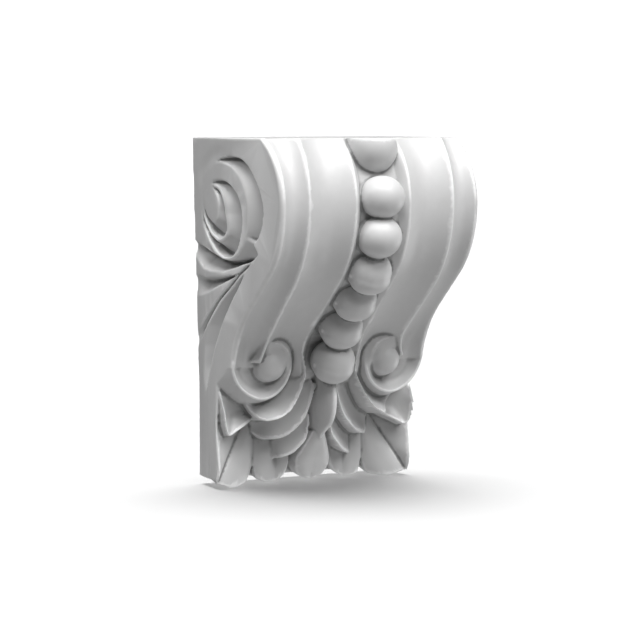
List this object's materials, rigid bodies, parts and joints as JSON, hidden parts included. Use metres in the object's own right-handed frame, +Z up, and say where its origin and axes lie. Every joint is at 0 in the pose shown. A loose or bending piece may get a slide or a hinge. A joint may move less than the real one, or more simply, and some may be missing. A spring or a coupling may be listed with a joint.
{
  "type": "corbel",
  "caption": "Cast plaster wall corbel with a scrolled front of two hollowed bands, a string of beads between them, volutes and a leaf apron.",
  "frame": {"origin": "middle of the flat back face, which is fixed to the wall", "axes": "+Z up, +Y out of the back towards the wall, -Y the way the carved front looks, +X to the right when the front is looked at"},
  "size_m": [0.162, 0.1423, 0.25],
  "materials": {
    "plaster": "matte cast plaster"
  },
  "bodies": {
    "root": {"corbel": "plaster"}
  },
  "joints": []
}
